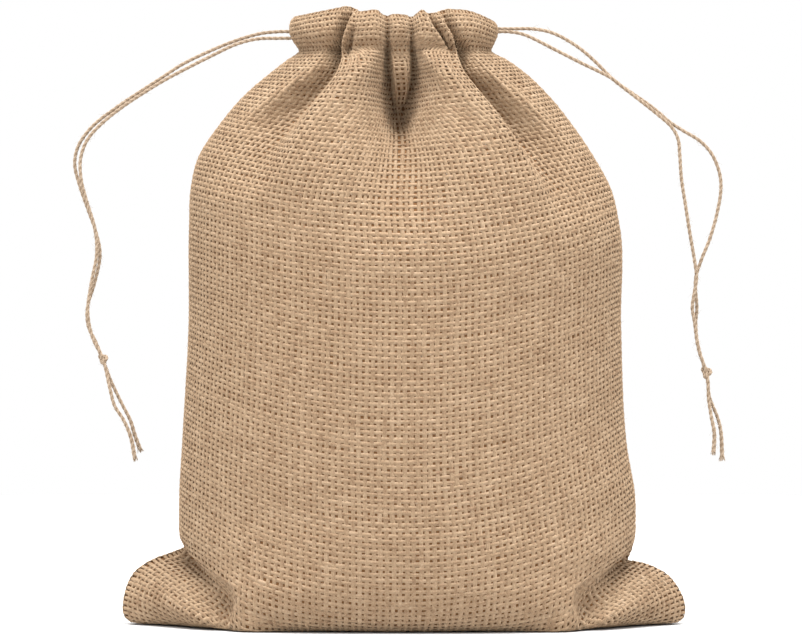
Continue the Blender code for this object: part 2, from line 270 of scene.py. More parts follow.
# points on the way of each strand, from the channel to the knot, as the part has them
strandRoutes = {
    "left_front": (
        (-39.4, -0.84, 207.9),
        (-45.0, -1.2, 207.9), (-52.5, -1.6, 207.6), (-60.0, -1.8, 205.6), (-68.5, -1.6, 201.6),
        (-76.5, -1.4, 197.6), (-84.5, -1.2, 193.4), (-92.0, -1.0, 188.9), (-100.0, -1.0, 183.6),
        (-107.0, -1.2, 178.0), (-112.4, -1.4, 172.0), (-114.9, -1.6, 165.0), (-114.6, -1.6, 157.4),
        (-112.6, -1.4, 149.6), (-109.9, -1.0, 140.6), (-109.2, -0.8, 131.6), (-110.8, -1.0, 122.6),
        (-112.3, -1.2, 113.0), (-111.9, -1.1, 106.5), (-110.3, -0.9, 100.8),
        (-108.2, -0.8, 96.6), (-107.2, -0.8, 94.0), (-106.2, -0.8, 91.4),
        (-105.2, -0.9, 86.8), (-104.2, -1.2, 82.4), (-102.8, -1.4, 77.5), (-99.5, -1.4, 72.2),
        (-97.0, -1.4, 66.1), (-95.6, -1.4, 58.6),
    ),
    "left_back": (
        (-39.4, 0.84, 210.4),
        (-45.0, 1.2, 210.4), (-52.0, 1.5, 209.6), (-61.0, 1.6, 206.9), (-70.0, 1.6, 203.2),
        (-79.0, 1.4, 198.8), (-87.0, 1.2, 193.6), (-95.0, 1.0, 188.4), (-103.0, 1.0, 183.0),
        (-110.4, 1.0, 177.2), (-115.6, 1.2, 170.4), (-117.2, 1.4, 163.4), (-115.4, 1.4, 155.6),
        (-112.6, 1.4, 147.6), (-109.6, 1.2, 139.0), (-108.2, 1.2, 131.0), (-110.0, 1.2, 121.6),
        (-112.6, 1.2, 112.8), (-112.4, 1.1, 106.0), (-109.9, 0.9, 100.6),
        (-108.2, 0.8, 96.6), (-107.2, 0.8, 94.0), (-106.2, 0.8, 91.4),
        (-104.6, 0.9, 87.0), (-102.7, 1.2, 82.8), (-100.3, 1.4, 77.9), (-97.4, 1.4, 72.2),
        (-95.8, 1.4, 66.9), (-93.8, 1.4, 61.6),
    ),
    "right_front": (
        (31.6, -0.84, 210.2),
        (37.2, -1.2, 210.2), (43.4, -1.6, 208.8), (53.2, -2.0, 203.9), (62.2, -2.0, 199.3),
        (72.4, -1.6, 194.3), (77.4, -1.2, 190.6), (84.9, -1.0, 184.8), (90.4, -1.0, 180.4),
        (94.6, -1.2, 176.6), (97.0, -1.4, 172.2), (97.6, -1.8, 166.8), (98.2, -2.0, 158.0),
        (99.6, -2.0, 148.9), (101.0, -1.8, 139.8), (102.6, -1.4, 130.8), (103.6, -1.2, 123.4),
        (103.0, -1.2, 118.7), (102.1, -1.2, 112.5), (102.9, -1.1, 107.2), (103.7, -1.0, 101.0),
        (104.7, -0.9, 96.3), (106.2, -0.8, 92.2), (107.0, -0.8, 89.2), (107.7, -0.8, 86.2),
        (107.9, -0.9, 80.2), (108.8, -1.2, 73.9), (109.9, -1.4, 67.7), (109.6, -1.4, 60.7),
    ),
    "right_back": (
        (31.6, 0.84, 211.4),
        (37.2, 1.2, 211.4), (46.0, 1.6, 211.4), (53.4, 1.8, 209.7), (61.4, 1.8, 205.2),
        (67.8, 1.6, 199.8), (74.2, 1.4, 193.4), (80.4, 1.2, 188.9), (88.0, 1.0, 183.6),
        (94.4, 1.0, 178.2), (99.4, 1.2, 175.0), (105.0, 1.6, 171.6), (109.2, 1.8, 167.0),
        (111.9, 2.0, 160.6), (112.5, 2.0, 154.3), (111.2, 2.0, 146.2), (108.6, 1.8, 137.0),
        (105.4, 1.5, 129.0), (103.4, 1.2, 122.0), (103.9, 1.2, 112.5), (103.5, 1.1, 107.0),
        (103.9, 1.0, 101.2), (104.9, 0.9, 96.5), (106.2, 0.8, 92.2), (107.0, 0.8, 89.2),
        (107.7, 0.8, 86.2), (108.4, 0.9, 80.4), (111.2, 1.2, 73.4), (112.5, 1.4, 67.7),
        (112.9, 1.4, 58.6),
    ),
}


def smoothRoute(points, spacing):
    # a Catmull-Rom curve through the points, read at an even spacing
    points = np.array(points, float)
    ends = np.concatenate([[2 * points[0] - points[1]], points, [2 * points[-1] - points[-2]]])
    t = np.linspace(0.0, 1.0, twine["curveSteps"], endpoint=False)[None, :, None]
    a, b, c, d = (ends[k : len(ends) - 3 + k, None] for k in range(4))
    fine = b + 0.5 * t * (c - a + t * (2 * a - 5 * b + 4 * c - d + t * (3 * (b - c) + d - a)))
    fine = np.concatenate([fine.reshape(-1, 3), points[-1:]])
    along = np.concatenate([[0.0], np.cumsum(np.linalg.norm(np.diff(fine, axis=0), axis=1))])
    at = np.linspace(0.0, along[-1], int(round(along[-1] / spacing)) + 1)
    return np.stack([np.interp(at, along, fine[:, k]) for k in range(3)], axis=1), along[-1]


def tubeFrames(route):
    # the way along the route, and two directions across it that don't turn about it: each is the
    # last one less its part along the route
    along = normalise(np.gradient(route, axis=0))
    side = np.zeros_like(route)
    side[0] = normalise(np.cross(along[0], (0.0, 1.0, 0.02)))
    for k in range(1, len(route)):
        side[k] = normalise(side[k - 1] - along[k] * (side[k - 1] @ along[k]))
    return along, side, np.cross(along, side)


def tubeFaces(rings, sides, closed=False):
    # quads between each ring and the next; an open tube's ends are closed apart from these
    steps = rings if closed else rings - 1
    ring = np.arange(steps)[:, None] * sides
    nextRing = (np.arange(steps)[:, None] + 1) % rings * sides
    k = np.arange(sides)[None, :]
    after = (k + 1) % sides
    quads = np.stack([ring + k, ring + after, nextRing + after, nextRing + k], axis=-1)
    return quads.reshape(-1, 4)


def tubeLayout(steps, sides, strips):
    # the tube unrolled and cut into strips that lie one above another in the unit square
    perStrip = -(-steps // strips)
    j = np.arange(steps)[:, None, None]
    k = np.arange(sides)[None, :, None]
    u = (j % perStrip + np.array([0, 0, 1, 1])) / perStrip
    v = (j // perStrip * (sides + 1.0) + k + np.array([0, 1, 1, 0])) / (strips * (sides + 1.0))
    u, v = np.broadcast_arrays(u, v)
    return np.stack([u, v], axis=-1).reshape(-1, 4, 2)


def twistedTube(path, length, radius, lay, closed):
    # a tube of plies: at an angle and a length s its radius is r (1 + d cos(n (angle - 2 pi s / lay))),
    # narrowed at open ends and swollen where the plies loosen. Crests are painted lighter and grooves
    # darker, as painted shade.
    _, side, up = tubeFrames(path)
    s = np.linspace(0.0, length, len(path), endpoint=not closed)[:, None]
    around = 2.0 * math.pi * np.arange(twine["sides"]) / twine["sides"]
    lobes = np.cos(twine["plies"] * (around[None, :] - 2.0 * math.pi * s / lay))
    thick = radius * (1.0 + twine["plyDepth"] * lobes)
    if not closed:
        first, last = twine["endTapers"]
        opened = smoothStep(s / first) * smoothStep((length - s) / last)
        thick = thick * (twine["endWidth"] + (1.0 - twine["endWidth"]) * opened)
        loosened = ramp(s, length - twine["loose"], twine["loosening"])
        thick = thick * (1.0 + twine["looseSwelling"] * loosened)
    points = (
        path[:, None, :]
        + side[:, None, :] * (thick * np.cos(around))[..., None]
        + up[:, None, :] * (thick * np.sin(around))[..., None]
    )
    # painted shade: the tone is lighter on the plies' crests and darker in the grooves between them
    return points, 0.5 + twine["plyPaintedShade"] * lobes


fibre = {
    "rings": 4,
    "taper": 0.7,  # the share of its thickness that a fibre has lost at its tip
    "tones": (0.5, 1.0),
    "speck": 0.004,  # of the unit square, for each of its faces
    "spread": 0.99,
}


def hairs(roots, ways, spread, length, thick, rng):
    # loose fibres, three-sided tubes that bend away from their roots: the middle is
    # root + way length t + spread t^2, and the radius is thick (1 - taper t)
    rings, sides = fibre["rings"], 3
    t = np.linspace(0.0, 1.0, rings)[None, :, None]
    path = roots[:, None] + ways[:, None] * t * length[:, None, None] + spread[:, None] * t**2
    across = normalise(np.cross(ways, rng.normal(0.0, 1.0, ways.shape)))
    other = np.cross(ways, across)
    angle = 2.0 * math.pi * np.arange(sides) / sides
    ring = across[:, None, None] * np.cos(angle)[:, None] + other[:, None, None] * np.sin(angle)[:, None]
    points = path[:, :, None] + ring * (thick * (1.0 - fibre["taper"] * t))[..., None]
    points[..., 2] = np.maximum(points[..., 2], lowest)
    first = (np.arange(len(roots)) * rings * sides)[:, None, None]
    tip = (rings - 1) * sides
    quads = tubeFaces(rings, sides)[None] + first
    caps = np.array([[0, 2, 1], [tip, tip + 1, tip + 2]])[None] + first
    return points.reshape(-1, 3), quads.reshape(-1, 4), caps.reshape(-1, 3)


def addHairs(name, roots, ways, spread, length, thick, rng, material):
    # one mesh of loose fibres, each of one tone, with a speck of the unit square for each face
    points, quads, caps = hairs(roots, ways, spread, length, thick, rng)
    faces = np.concatenate([quads[:, [0, 1, 2]], quads[:, [0, 2, 3]], caps])
    tone = np.repeat(rng.uniform(*fibre["tones"], len(roots)), len(points) // len(roots))
    place = np.repeat(rng.uniform(0.0, 1.0, (len(roots), 1, 2)), len(faces) // len(roots), axis=0)
    corners = fibre["speck"] * np.array([[0.0, 0.0], [1.0, 0.0], [0.0, 1.0]])
    layout = place * fibre["spread"] + corners
    return addMesh(name, points, faces, material, [("tone", tone)], layout)


def addTwine(name, route, material):
    # a twisted tube along the smooth route, each end closed by a fan of quads across it
    path, length = smoothRoute(route, twine["step"])
    points, tone = twistedTube(path, length, twine["diameter"] / 2.0, twine["lay"], False)
    rings, sides = tone.shape
    last = (rings - 1) * sides
    half = sides // 2 - 1
    k = np.arange(half)
    near = np.stack([k, sides - 1 - k, sides - 2 - k, k + 1], axis=-1)
    faces = np.concatenate([tubeFaces(rings, sides), near, near[:, ::-1] + last])
    layout = np.concatenate([tubeLayout(rings - 1, sides, twine["strips"]), np.zeros((2 * half, 4, 2))])
    return addMesh(name, points, faces, material, [("tone", tone)], layout), path, length


overhandKnot = {
    "rings": 150,
    "twineRadius": 0.55,
    "depth": 0.75,
    "lay": 3.5,
    "length": 21.0,  # of the twine in it
    "strips": 2,
    # middle, half length, half width, lean in degrees
    "places": {
        "left": ((-107.0, 0.0, 94.2), 2.3, 1.9, 111.0),
        "right": ((107.2, 0.0, 89.4), 2.6, 2.1, 105.0),
    },
}


def addKnot(name, middle, halfLength, halfWidth, lean, material):
    # an overhand knot pulled tight, with the middle line
    # (sin t + 2 sin 2t, -sin 3t, cos t - 2 cos 2t), squeezed to the knot's size and leant over
    t = np.linspace(0.0, 2.0 * math.pi, overhandKnot["rings"], endpoint=False)
    radius = overhandKnot["twineRadius"]
    x = (np.sin(t) + 2.0 * np.sin(2.0 * t)) / 3.0 * (halfLength - radius)
    y = -np.sin(3.0 * t) * overhandKnot["depth"]
    z = (np.cos(t) - 2.0 * np.cos(2.0 * t)) / 3.0 * (halfWidth - radius)
    turn = math.radians(lean)
    leant = [x * math.cos(turn) - z * math.sin(turn), y, x * math.sin(turn) + z * math.cos(turn)]
    path = np.stack(leant, axis=1) + np.array(middle)
    points, tone = twistedTube(path, overhandKnot["length"], radius, overhandKnot["lay"], True)
    faces = tubeFaces(len(path), twine["sides"], True)
    layout = tubeLayout(len(path), twine["sides"], overhandKnot["strips"])
    return addMesh(name, points, faces, material, [("tone", tone)], layout)


twineFuzz = {
    "count": 110,
    "bareRings": (20, 3),  # rings with no fibres at the channel and at the cut end
    "root": 0.5,  # mm from the twine's middle
    "outwards": 0.45,
    "bend": (0.1, 0.8),
    "length": (0.9, 2.4),
    "thick": 0.05,
    # the opened plies at the cut end
    "endCount": 16,
    "endRing": 6,  # rings before the end where they start
    "endRoot": 0.38,
    "endSplay": (0.02, 0.2),
    "endBend": (-0.3, 0.4),
    "endLength": (2.8, 3.5),
    "endThick": 0.24,
}


def addFuzz(name, path, seed, material):
    # loose fibres along the twine, which leave it along + outwards, and opened plies at its cut end
    rng = np.random.default_rng(seed)
    along, side, up = tubeFrames(path)
    first, last = twineFuzz["bareRings"]
    k = rng.integers(first, len(path) - last, twineFuzz["count"])
    angle = rng.uniform(0.0, 2.0 * math.pi, len(k))[:, None]
    out = side[k] * np.cos(angle) + up[k] * np.sin(angle)
    roots = path[k] + out * twineFuzz["root"]
    ways = normalise(along[k] * rng.choice([-1.0, 1.0], len(k))[:, None] + out * twineFuzz["outwards"])
    spread = out * rng.uniform(*twineFuzz["bend"], len(k))[:, None]
    length = rng.uniform(*twineFuzz["length"], len(k))
    ends = twineFuzz["endCount"]
    angle = (2.0 * math.pi * np.arange(ends) / ends)[:, None]
    out = side[-1] * np.cos(angle) + up[-1] * np.sin(angle)
    splay = rng.uniform(*twineFuzz["endSplay"], (ends, 1))
    roots = np.concatenate([roots, path[-twineFuzz["endRing"]] + out * twineFuzz["endRoot"]])
    ways = np.concatenate([ways, normalise(along[-1] + out * splay)])
    spread = np.concatenate([spread, out * rng.uniform(*twineFuzz["endBend"], (ends, 1))])
    length = np.concatenate([length, rng.uniform(*twineFuzz["endLength"], ends)])
    thick = np.concatenate([np.full(len(k), twineFuzz["thick"]), np.full(ends, twineFuzz["endThick"])])
    return addHairs(name, roots, ways, spread, length, thick[:, None, None], rng, material)


cloth = {
    "around": 400.0,  # the flat tube, both faces
    "tall": 267.0,  # from the bottom seam to the fold at the rim
    "stitch": 251.5,  # how far up the channel's stitch line is
    "stitchHeight": 203.5,  # where that line stands
    "ground": 0.6,  # the cloth's middle, where it lies on the ground
    "warpEnds": 184,
    "weftPicks": 138,
    "turnedIn": 8,  # picks of the hem inside the channel
    "hemGap": 1.9,  # between the channel's two layers
    "hemTurn": 1.1,  # how soon the hem is that far in, per pick
    "rimRounding": (0.55, 0.12),  # how far in the topmost pick lies, and the next
}

# the filled body without its ears: height, left side, right side, depth front and back,
# and how square its section is (2 is an ellipse)
bodyLevels = (
    (0.0, -73.0, 73.0, 37.0, 3.0),
    (2.0, -76.5, 76.5, 41.4, 3.0),
    (6.0, -77.5, 77.5, 45.2, 2.9),
    (13.0, -76.5, 76.5, 47.8, 2.7),
    (20.0, -76.5, 77.5, 49.0, 2.4),
    (27.0, -78.4, 80.6, 49.6, 2.2),
    (34.0, -79.8, 81.8, 50.0, 2.05),
    (42.0, -79.8, 81.8, 50.0, 2.0),
    (64.0, -78.7, 78.6, 50.0, 2.0),
    (106.0, -76.4, 76.6, 49.6, 2.0),
    (142.0, -76.2, 76.0, 48.5, 2.0),
    (155.0, -75.6, 72.8, 46.8, 2.0),
    (166.0, -72.8, 66.8, 43.5, 2.0),
    (177.0, -65.6, 59.4, 38.6, 2.0),
    (187.0, -57.2, 51.4, 33.4, 2.0),
    (196.0, -46.8, 42.0, 27.0, 2.0),
    (200.0, -41.6, 36.4, 23.0, 2.0),
    (203.5, -37.2, 30.6, 20.2, 2.0),
    (206.0, -38.8, 31.6, 21.8, 2.0),
    (210.0, -40.6, 33.0, 22.4, 2.0),
    (215.5, -39.6, 31.6, 19.4, 2.0),
    (218.6, -36.4, 28.8, 16.6, 2.0),
)

# the side seams over the ears, from the corner to where the body takes over: out, height
earSeams = {
    "left": (
        (96.4, 0.7), (99.2, 2.4), (100.2, 5.6), (98.2, 15.0), (92.8, 22.2), (85.5, 25.6), (80.4, 26.8),
        (77.2, 27.6), (77.6, 30.0), (78.6, 33.0),
    ),
    "right": (
        (96.4, 0.7), (99.0, 2.2), (99.9, 5.2), (98.4, 11.0), (94.1, 17.2), (88.6, 21.0), (83.4, 22.4),
        (79.4, 22.8), (80.0, 25.0), (80.9, 28.0),
    ),
}

# how far forward and up the ears are stuffed: out, depth, height
earStuffing = ((60.0, 38.0, 20.0), (72.0, 29.0, 21.0), (79.0, 20.0, 22.5), (86.0, 13.0, 22.0),
               (92.0, 8.0, 19.5), (96.5, 4.5, 13.5), (99.6, 0.5, 8.0))

# the crease between an ear and the body, from the notch down to where it fades, through these
# points (out, forward, up)
creases = {
    "points": ((79.0, 3.0, 23.0), (73.0, 16.0, 17.0), (64.0, 33.0, 10.0)),
    "reach": 6.0,
    "depth": 9.5,
    "way": (0.5, 0.85, 0.0),
    "shallow": 9.0,  # nearer the seam than this it fades
    "after": 0.6,  # the share of the settling that comes before it
}

# the top edge of the channel: across, height
rimHeights = (
    (-41.0, 215.4), (-37.0, 215.8), (-30.0, 217.0), (-21.5, 218.3), (-18.2, 217.0), (-15.5, 216.4),
    (-10.0, 217.0), (-6.5, 215.2), (-1.5, 215.4), (3.2, 214.8), (7.0, 217.0), (11.0, 215.8),
    (18.0, 217.4), (25.0, 217.0), (30.0, 214.8), (33.5, 213.0),
)

# valleys of the gathered cloth: rows of height, across, depth, half width (or its reach to
# the left and to the right). A depth below zero is a ridge.
valleys = {
    "front": (
        # the dish in the middle
        ((130, 0.0, 0.0, 34.0), (140, 0.0, 2.8, 30.0), (150, 0.0, 8.4, 26.0), (160, -0.4, 15.2, 23.4),
         (169, -0.8, 21.2, 21.6), (177, -1.2, 24.4, 20.0), (183, -1.4, 23.0, 18.4), (190, -1.5, 15.6, 15.6),
         (197, -1.6, 7.4, 12.4), (203.5, -1.6, 3.4, 10.3), (218, -1.6, 2.0, 10.0)),
        # the pocket at its top, which the middle fold dips into
        ((165, -1.6, 0.0, 14.0), (170, -1.6, 2.0, 13.6), (174, -1.6, 4.2, 13.0), (178, -1.6, 6.4, 11.6),
         (181.5, -1.5, 7.0, 10.0), (185, -1.4, 6.0, 8.0), (188, -1.4, 2.6, 6.4), (191, -1.4, 0.0, 5.0)),
        # the two sides of the middle fold
        ((171, -5.6, 0.0, 6.0, 4.4), (177, -6.0, 3.0, 6.6, 4.4), (182, -6.8, 10.0, 7.2, 4.6),
         (188, -7.4, 14.5, 7.2, 4.8), (193, -7.2, 14.5, 6.0, 4.5), (198, -6.9, 11.5, 4.4, 3.7),
         (204, -6.4, 6.6, 2.8, 2.7), (218, -6.3, 5.6, 2.7, 2.6)),
        ((171, 2.6, 0.0, 4.4, 6.0), (177, 3.0, 3.0, 4.4, 6.6), (182, 4.2, 10.0, 4.6, 7.4),
         (188, 5.4, 14.5, 4.8, 7.6), (193, 5.4, 14.5, 4.6, 6.4), (198, 4.6, 11.5, 3.8, 4.6),
         (204, 3.5, 6.6, 2.7, 2.8), (218, 3.0, 5.6, 2.6, 2.7)),
        # the ridges at either side of the dish
        ((150, -44.0, 0.0, 18.0), (165, -37.0, -2.0, 15.0), (177, -30.0, -3.6, 12.0),
         (185, -24.0, -4.4, 9.0), (191, -19.4, -4.8, 7.6), (197, -15.0, -4.6, 6.4),
         (201, -12.6, -3.0, 5.6), (204.5, -11.6, 0.0, 5.0)),
        ((150, 44.0, 0.0, 18.0), (165, 36.0, -2.0, 15.0), (174, 30.0, -3.4, 12.0), (182, 24.0, -4.4, 9.6),
         (189, 18.2, -4.8, 8.0), (195, 13.4, -4.6, 6.4), (200, 10.0, -3.2, 5.4), (204, 9.0, 0.0, 5.0)),
        # the long valley at the right, steep on its left side
        ((142, 59.0, 0.0, 11.0, 18.0), (152, 54.6, 3.4, 9.0, 19.0), (162, 49.0, 7.4, 7.4, 18.0),
         (171, 43.0, 10.4, 6.4, 15.5), (179, 37.2, 12.0, 5.6, 12.5), (187, 30.6, 12.0, 4.8, 9.5),
         (196, 23.4, 11.0, 3.8, 6.0), (204, 20.6, 9.0, 2.9, 3.4), (212, 16.4, 6.4, 2.6, 2.8),
         (218, 13.6, 4.0, 2.6, 2.8)),
        # the broad one at the left, steep on its right side
        ((150, -57.0, 0.0, 20.0, 16.0), (161, -53.0, 3.4, 20.0, 14.0), (170, -48.0, 7.0, 19.0, 12.0),
         (178, -42.5, 10.0, 16.0, 9.6), (186, -35.6, 11.6, 12.0, 7.4), (193, -29.0, 11.8, 8.4, 5.6),
         (199, -25.6, 10.8, 5.0, 4.0), (205, -24.4, 9.4, 3.2, 2.8), (211, -22.4, 8.6, 3.0, 2.6),
         (218, -19.0, 7.0, 3.0, 2.4)),
        # short ones in the channel
        ((195, -21.4, 0.0, 2.6), (200, -20.6, 2.2, 2.6), (204, -19.8, 4.0, 2.4), (208, -18.8, 3.0, 2.4),
         (212, -18.0, 1.2, 2.4), (218, -17.0, 0.4, 2.2)),
        ((198, 18.4, 0.0, 2.4), (202, 17.4, 2.4, 2.3), (206, 15.2, 4.8, 2.3), (213, 10.4, 5.0, 2.3),
         (218, 8.8, 4.0, 2.3)),
    ),
    "back": (
        ((150, -58.0, 0.0, 17.0), (165, -52.0, 3.4, 14.0), (180, -43.0, 6.4, 10.0), (194, -31.0, 8.0, 5.0),
         (204, -26.0, 8.0, 3.0), (218, -25.4, 7.6, 2.8)),
        ((152, -26.0, 0.0, 20.0), (168, -24.0, 3.6, 14.0), (182, -21.0, 7.2, 9.0), (195, -17.4, 8.4, 4.4),
         (204, -16.0, 8.6, 2.9), (218, -16.0, 8.2, 2.7)),
        ((158, -9.0, 0.0, 14.0), (174, -8.6, 4.0, 10.0), (190, -7.4, 7.6, 5.4), (204, -6.4, 8.8, 2.9),
         (218, -6.4, 8.4, 2.7)),
        ((148, 14.0, 0.0, 22.0), (166, 11.0, 4.4, 15.0), (182, 7.6, 8.0, 9.0), (195, 4.6, 9.0, 4.4),
         (204, 3.4, 9.0, 2.9), (218, 3.2, 8.6, 2.7)),
        ((160, 30.0, 0.0, 14.0), (176, 25.0, 4.2, 10.0), (192, 16.6, 7.6, 5.0), (204, 12.4, 8.2, 2.9),
         (218, 12.2, 7.8, 2.7)),
        ((146, 58.0, 0.0, 16.0), (162, 50.0, 3.8, 14.0), (178, 39.0, 6.8, 9.6), (194, 26.4, 8.0, 4.6),
         (204, 21.4, 8.0, 3.0), (218, 21.2, 7.6, 2.8)),
    ),
}


startShape = {
    "seamGap": 3.0,  # from the ear's last point to the body's first
    "seamSteps": 160,
    "seamEvery": 10,
    "seamFineness": 1200,
    "heights": 500,
    "angles": 1401,
    "rimMiddle": -3.6,
    "rimHalfWidth": 36.0,
    # the lowest picks: half width at the corner, where an ear starts to rise and over what share
    # of the half width, how upright it stands, and how soon the picks narrow towards it
    "corner": 96.4,
    "rise": (0.5, 0.5),
    "upright": 0.94,
    "narrowing": (3, 12),
    "toBody": (20.0, 38.0),  # mm of cloth before the body's shape, and over which it comes in
}


def sectionAt(z):
    # middle, half width, half depth and squareness of the body at a height
    left, right, depth, square = smoothTable(bodyLevels, z)
    return (left + right) / 2.0, (right - left) / 2.0, depth, square


def alongLine(points):
    # how far along a line each of its points is: the running sum of the gaps' lengths
    return np.concatenate([[0.0], np.cumsum(np.linalg.norm(np.diff(points, axis=0), axis=1))])


def sideSeam(side):
    # the side seam from the corner of the base to the stitch line, as (out, height) by cloth
    # length: a cubic over the ear and up the body's outline, evenly squeezed to its cut length
    sign = -1.0 if side == "left" else 1.0
    ear = np.array(earSeams[side], float)
    z = np.linspace(ear[-1, 1] + startShape["seamGap"], cloth["stitchHeight"], startShape["seamSteps"])
    middle, wide, _, _ = sectionAt(z)
    body = np.stack([wide + sign * middle, z], axis=1)
    points = np.concatenate([ear, body[:: startShape["seamEvery"]], body[-1:]])
    order = np.arange(len(points), dtype=float)
    at = np.linspace(0.0, order[-1], startShape["seamFineness"])
    fine = smoothTable(np.column_stack([order, points]), at).T
    along = alongLine(fine)
    return along * cloth["stitch"] / along[-1], fine


def faceGrid(face, seams, up):
    # one face of the body as rows of picks by ends, from its left seam to its right. A row goes
    # round the section |x / wide|^n + |y / depth|^n = 1 at a height that rises with out^2 to the
    # seams' height, less depth bump((x - place) / reach) along the normal for each valley, and
    # its warp ends are spread evenly along it.
    sign = -1.0 if face == "front" else 1.0
    count = cloth["warpEnds"] // 2
    z = np.linspace(0.0, cloth["stitchHeight"], startShape["heights"])
    _, _, depth, _ = sectionAt(z)
    run = depth[0] + alongLine(np.stack([z, depth], axis=1))
    zMiddle = np.interp(up, run * cloth["stitch"] / run[-1], z)
    angle = np.linspace(0.0, math.pi, startShape["angles"])[None, :]
    out = -np.cos(angle)
    zSide = np.where(
        out < 0.0, *[np.interp(up, seams[side][0], seams[side][1][:, 1]) for side in ("left", "right")]
    )
    height = zMiddle + (zSide - zMiddle) * out**2
    # the channel stands on the stitch line
    top = smoothTable(rimHeights, out * startShape["rimHalfWidth"] + startShape["rimMiddle"])[0]
    above = (up - cloth["stitch"]) / (cloth["tall"] - cloth["stitch"])
    channel = cloth["stitchHeight"] + (top - cloth["stitchHeight"]) * above
    height = np.where(above > 0.0, channel, height)
    middle, wide, depth, square = sectionAt(height)
    x = middle + wide * np.sign(out) * np.abs(out) ** (2.0 / square)
    y = depth * np.sin(angle) ** (2.0 / square)
    normal = normalise(np.stack([np.cos(angle) * -depth, np.sin(angle) * wide], axis=-1))
    inward = np.zeros_like(x)
    for table in valleys[face]:
        place, deep, reachLeft, *reachRight = smoothTable(table, height)
        reach = np.where(x < place, reachLeft, reachRight[0] if reachRight else reachLeft)
        inward += deep * bump((x - place) / reach)
    x, y = x - normal[..., 0] * inward, y - normal[..., 1] * inward
    line = np.stack([x, sign * y, height], axis=-1)
    run = np.cumsum(np.linalg.norm(np.diff(line, axis=1), axis=-1), axis=1)
    run = np.concatenate([np.zeros((len(run), 1)), run], axis=1)
    share = np.arange(count + 1) / count
    rows = np.stack([
        np.stack([np.interp(share * r[-1], r, p[:, k]) for k in range(3)], axis=-1)
        for r, p in zip(run, line)
    ])
    drawnIn = np.stack([np.interp(share * r[-1], r, d) for r, d in zip(run, inward)])
    return rows, drawnIn, run[:, -1]


def lowStrip(seams, up, across, front):
    # the lowest picks, flat on the ground in the middle and upright on the ears: with a rise from
    # 0 to 1, y = up cos(upright rise pi / 2), z goes from the ground to the seam's height with the
    # rise, and x from the corner's width to the seam's with the third power of the way out
    side = np.where(across < 0.0, 0, 1)
    seamX, seamZ = (
        np.where(
            side == 0, *[np.interp(up, seams[name][0], seams[name][1][:, k]) for name in ("left", "right")]
        )
        for k in range(2)
    )
    far = np.abs(across)
    rise = ramp(far, *startShape["rise"])
    widening, closing = startShape["narrowing"]
    corner, ground = startShape["corner"], cloth["ground"]
    x = across * (corner + (seamX - corner) * far**widening)
    y = front * up * np.cos(0.5 * math.pi * rise * startShape["upright"]) * (1.0 - far**closing)
    z = ground + (seamZ - ground) * rise
    return np.stack([x, y, z], axis=-1)


def clothStart():
    # the crossings of the threads before they settle, as rows of picks by ends: the low strip and,
    # further up, the two faces
    ends, picks = cloth["warpEnds"], cloth["weftPicks"] + 1
    half = ends // 2
    up = np.linspace(0.0, cloth["tall"], picks)[:, None]
    column = np.arange(ends)
    across = (2.0 * np.where(column <= half, column / half, 2.0 - column / half) - 1.0)[None, :]
    front = np.where(column <= half, -1.0, 1.0)[None, :]
    seams = {side: sideSeam(side) for side in ("left", "right")}
    faces = [faceGrid(face, seams, up) for face in ("front", "back")]
    body = np.concatenate([faces[0][0][:, :-1], faces[1][0][:, :0:-1]], axis=1)
    inward = np.concatenate([faces[0][1][:, :-1], faces[1][1][:, :0:-1]], axis=1)
    length = np.where(column[None, :] <= half, faces[0][2][:, None], faces[1][2][:, None])
    low = lowStrip(seams, up, across, front)
    grid = low + (body - low) * ramp(up, *startShape["toBody"])[..., None]
    return grid, up, across, front, inward, length


def pullTogether(grid, move, weight, down, over, rest, stretched, squeezed):
    # every pair of crossings that far apart in the grid goes back towards its cut distance: each
    # moves by gap (1 - rest / length) / 2, times the stiffness
    last = len(grid) - down
    gap = np.roll(grid, -over, axis=1)[down:] - grid[:last]
    length = np.maximum(np.sqrt((gap * gap).sum(-1)), 1e-6)
    rest = rest[:last]
    stiff = np.where(length > rest, stretched, squeezed)
    shift = gap * (0.5 * stiff * (1.0 - rest / length))[..., None]
    move[:last] += shift
    move[down:] -= np.roll(shift, over, axis=1)
    weight[:last] += stiff
    weight[down:] += np.roll(stiff, over, axis=1)


def drawCreases(grid):
    # draws the cloth in beside the ears: p - way depth exp(-(gap / reach)^2), gap being the
    # distance from the crease's line
    points = np.array(creases["points"])
    here = np.abs(grid)
    gaps = []
    for start, way in zip(points[:-1], np.diff(points, axis=0)):
        t = np.clip((here - start) @ way / (way @ way), 0.0, 1.0)
        gaps.append(np.linalg.norm(here - start - t[..., None] * way, axis=-1))
    near = np.exp(-((np.minimum(*gaps) / creases["reach"]) ** 2))
    near = near * smoothStep(here[..., 1] / creases["shallow"])
    inwards = -np.sign(grid) * np.array(creases["way"])
    return grid + inwards * creases["depth"] * near[..., None], near


